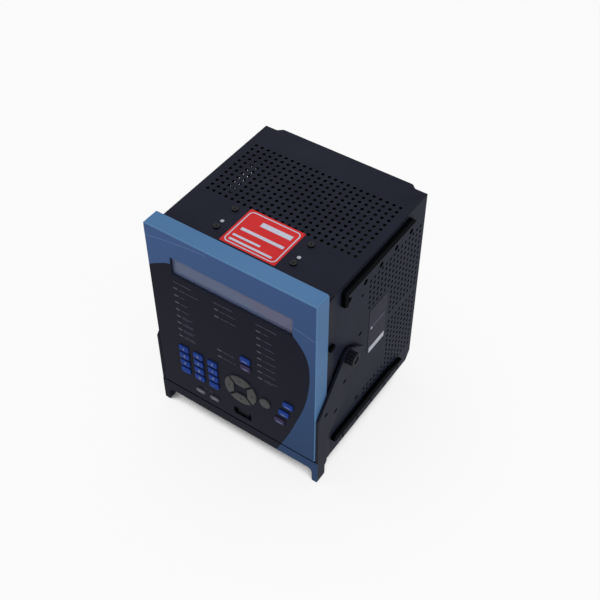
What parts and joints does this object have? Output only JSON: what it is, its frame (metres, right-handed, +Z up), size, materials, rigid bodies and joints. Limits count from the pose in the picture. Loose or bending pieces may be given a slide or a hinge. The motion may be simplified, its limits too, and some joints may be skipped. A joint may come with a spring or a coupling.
{
  "type": "protection relay draw-out unit",
  "caption": "Draw-out protection relay: blue front frame with display, keys and lamps, perforated black chassis behind it and a swinging U-shaped handle at the bottom.",
  "frame": {"origin": "under the middle of the unit, level with the lowest points of the handle's feet", "axes": "+X to the right of the face as seen from the front, +Y from the face to the rear contacts, +Z up"},
  "size_m": [0.24, 0.2302, 0.2895],
  "materials": {
    "bezel_paint": "moulded, blue paint, satin",
    "overlay_print": "printed polyester overlay",
    "window_clear": "clear acrylic window",
    "display_grey": "unlit liquid crystal display",
    "lens_clear": "clear light pipes",
    "connector_shell": "moulded connector",
    "board_green": "glass-epoxy board, green mask",
    "chassis_black": "steel sheet, fine black powder coat",
    "rail_black": "moulded nylon",
    "knob_black": "moulded, serrated",
    "screw_dark": "blackened steel",
    "rivet_bright": "bright",
    "bracket_zinc": "zinc plated",
    "label_red": "printed vinyl",
    "label_dark": "printed vinyl",
    "ring_yellow": "taped winding",
    "relay_black": "moulded cover",
    "block_black": "moulded, glass filled",
    "blade_plate": "plated",
    "handle_black": "moulded, fine grain",
    "key_blue": "silicone rubber",
    "key_purple": "silicone rubber",
    "key_grey": "silicone rubber",
    "key_pale": "silicone rubber"
  },
  "bodies": {
    "chassis": {"bezel": "bezel_paint", "face_overlay": "overlay_print", "display_window": "window_clear", "display_module": "display_grey", "lamp_lenses": "lens_clear", "port_connector": "connector_shell", "key_board": "board_green", "front_subpanel": "chassis_black", "top_cover": "chassis_black", "bottom_cover": "chassis_black", "left_side_panel": "chassis_black", "right_side_panel": "chassis_black", "rear_panel": "chassis_black", "left_upper_rail": "rail_black", "right_upper_rail": "rail_black", "left_lower_rail": "rail_black", "right_lower_rail": "rail_black", "left_stop_block": "rail_black", "right_stop_block": "rail_black", "left_pivot_knob": "knob_black", "right_pivot_knob": "knob_black", "cover_screws": "screw_dark", "cover_rivets": "rivet_bright", "cover_bracket": "bracket_zinc", "top_label": "label_red", "side_label": "label_dark", "processor_board": "board_green", "io_board": "board_green", "power_board": "board_green", "ring_transformers": "ring_yellow", "output_relays": "relay_black", "contact_blocks": "block_black", "contact_blades": "blade_plate"},
    "handle": {"handle": "handle_black", "handle_fascia": "overlay_print"},
    "key_one": {"key_one": "key_blue"},
    "key_two": {"key_two": "key_blue"},
    "key_three": {"key_three": "key_blue"},
    "key_four": {"key_four": "key_blue"},
    "key_five": {"key_five": "key_blue"},
    "key_six": {"key_six": "key_blue"},
    "key_seven": {"key_seven": "key_blue"},
    "key_eight": {"key_eight": "key_blue"},
    "key_nine": {"key_nine": "key_blue"},
    "key_left_blank": {"key_left_blank": "key_blue"},
    "key_zero": {"key_zero": "key_blue"},
    "key_dot": {"key_dot": "key_blue"},
    "key_help": {"key_help": "key_blue"},
    "key_message": {"key_message": "key_purple"},
    "key_up": {"key_up": "key_grey"},
    "key_left": {"key_left": "key_grey"},
    "key_down": {"key_down": "key_grey"},
    "key_right": {"key_right": "key_grey"},
    "key_round": {"key_round": "key_grey"},
    "key_reset": {"key_reset": "key_pale"},
    "key_next": {"key_next": "key_pale"},
    "key_setpoint": {"key_setpoint": "key_blue"},
    "key_actual": {"key_actual": "key_blue"},
    "key_store": {"key_store": "key_purple"}
  },
  "joints": [
    {"name": "handle_pivot", "type": "hinge", "parent": "chassis", "child": "handle", "pos_m": [0, -0.05645, 0.1675], "axis": [-1, 0, 0], "range_deg": [0, 87.5]},
    {"name": "press_one", "type": "slide", "parent": "chassis", "child": "key_one", "axis": [0, 1, 0], "range_m": [0, 0.001], "stiffness_N_per_m": 450, "springref_m": -0.0008},
    {"name": "press_two", "type": "slide", "parent": "chassis", "child": "key_two", "axis": [0, 1, 0], "range_m": [0, 0.001], "stiffness_N_per_m": 450, "springref_m": -0.0008},
    {"name": "press_three", "type": "slide", "parent": "chassis", "child": "key_three", "axis": [0, 1, 0], "range_m": [0, 0.001], "stiffness_N_per_m": 450, "springref_m": -0.0008},
    {"name": "press_four", "type": "slide", "parent": "chassis", "child": "key_four", "axis": [0, 1, 0], "range_m": [0, 0.001], "stiffness_N_per_m": 450, "springref_m": -0.0008},
    {"name": "press_five", "type": "slide", "parent": "chassis", "child": "key_five", "axis": [0, 1, 0], "range_m": [0, 0.001], "stiffness_N_per_m": 450, "springref_m": -0.0008},
    {"name": "press_six", "type": "slide", "parent": "chassis", "child": "key_six", "axis": [0, 1, 0], "range_m": [0, 0.001], "stiffness_N_per_m": 450, "springref_m": -0.0008},
    {"name": "press_seven", "type": "slide", "parent": "chassis", "child": "key_seven", "axis": [0, 1, 0], "range_m": [0, 0.001], "stiffness_N_per_m": 450, "springref_m": -0.0008},
    {"name": "press_eight", "type": "slide", "parent": "chassis", "child": "key_eight", "axis": [0, 1, 0], "range_m": [0, 0.001], "stiffness_N_per_m": 450, "springref_m": -0.0008},
    {"name": "press_nine", "type": "slide", "parent": "chassis", "child": "key_nine", "axis": [0, 1, 0], "range_m": [0, 0.001], "stiffness_N_per_m": 450, "springref_m": -0.0008},
    {"name": "press_left_blank", "type": "slide", "parent": "chassis", "child": "key_left_blank", "axis": [0, 1, 0], "range_m": [0, 0.001], "stiffness_N_per_m": 450, "springref_m": -0.0008},
    {"name": "press_zero", "type": "slide", "parent": "chassis", "child": "key_zero", "axis": [0, 1, 0], "range_m": [0, 0.001], "stiffness_N_per_m": 450, "springref_m": -0.0008},
    {"name": "press_dot", "type": "slide", "parent": "chassis", "child": "key_dot", "axis": [0, 1, 0], "range_m": [0, 0.001], "stiffness_N_per_m": 450, "springref_m": -0.0008},
    {"name": "press_help", "type": "slide", "parent": "chassis", "child": "key_help", "axis": [0, 1, 0], "range_m": [0, 0.001], "stiffness_N_per_m": 450, "springref_m": -0.0008},
    {"name": "press_message", "type": "slide", "parent": "chassis", "child": "key_message", "axis": [0, 1, 0], "range_m": [0, 0.001], "stiffness_N_per_m": 450, "springref_m": -0.0008},
    {"name": "press_up", "type": "slide", "parent": "chassis", "child": "key_up", "axis": [0, 1, 0], "range_m": [0, 0.001], "stiffness_N_per_m": 450, "springref_m": -0.0008},
    {"name": "press_left", "type": "slide", "parent": "chassis", "child": "key_left", "axis": [0, 1, 0], "range_m": [0, 0.001], "stiffness_N_per_m": 450, "springref_m": -0.0008},
    {"name": "press_down", "type": "slide", "parent": "chassis", "child": "key_down", "axis": [0, 1, 0], "range_m": [0, 0.001], "stiffness_N_per_m": 450, "springref_m": -0.0008},
    {"name": "press_right", "type": "slide", "parent": "chassis", "child": "key_right", "axis": [0, 1, 0], "range_m": [0, 0.001], "stiffness_N_per_m": 450, "springref_m": -0.0008},
    {"name": "press_round", "type": "slide", "parent": "chassis", "child": "key_round", "axis": [0, 1, 0], "range_m": [0, 0.001], "stiffness_N_per_m": 450, "springref_m": -0.0008},
    {"name": "press_reset", "type": "slide", "parent": "chassis", "child": "key_reset", "axis": [0, 1, 0], "range_m": [0, 0.001], "stiffness_N_per_m": 450, "springref_m": -0.0008},
    {"name": "press_next", "type": "slide", "parent": "chassis", "child": "key_next", "axis": [0, 1, 0], "range_m": [0, 0.001], "stiffness_N_per_m": 450, "springref_m": -0.0008},
    {"name": "press_setpoint", "type": "slide", "parent": "chassis", "child": "key_setpoint", "axis": [0, 1, 0], "range_m": [0, 0.001], "stiffness_N_per_m": 450, "springref_m": -0.0008},
    {"name": "press_actual", "type": "slide", "parent": "chassis", "child": "key_actual", "axis": [0, 1, 0], "range_m": [0, 0.001], "stiffness_N_per_m": 450, "springref_m": -0.0008},
    {"name": "press_store", "type": "slide", "parent": "chassis", "child": "key_store", "axis": [0, 1, 0], "range_m": [0, 0.001], "stiffness_N_per_m": 450, "springref_m": -0.0008}
  ]
}
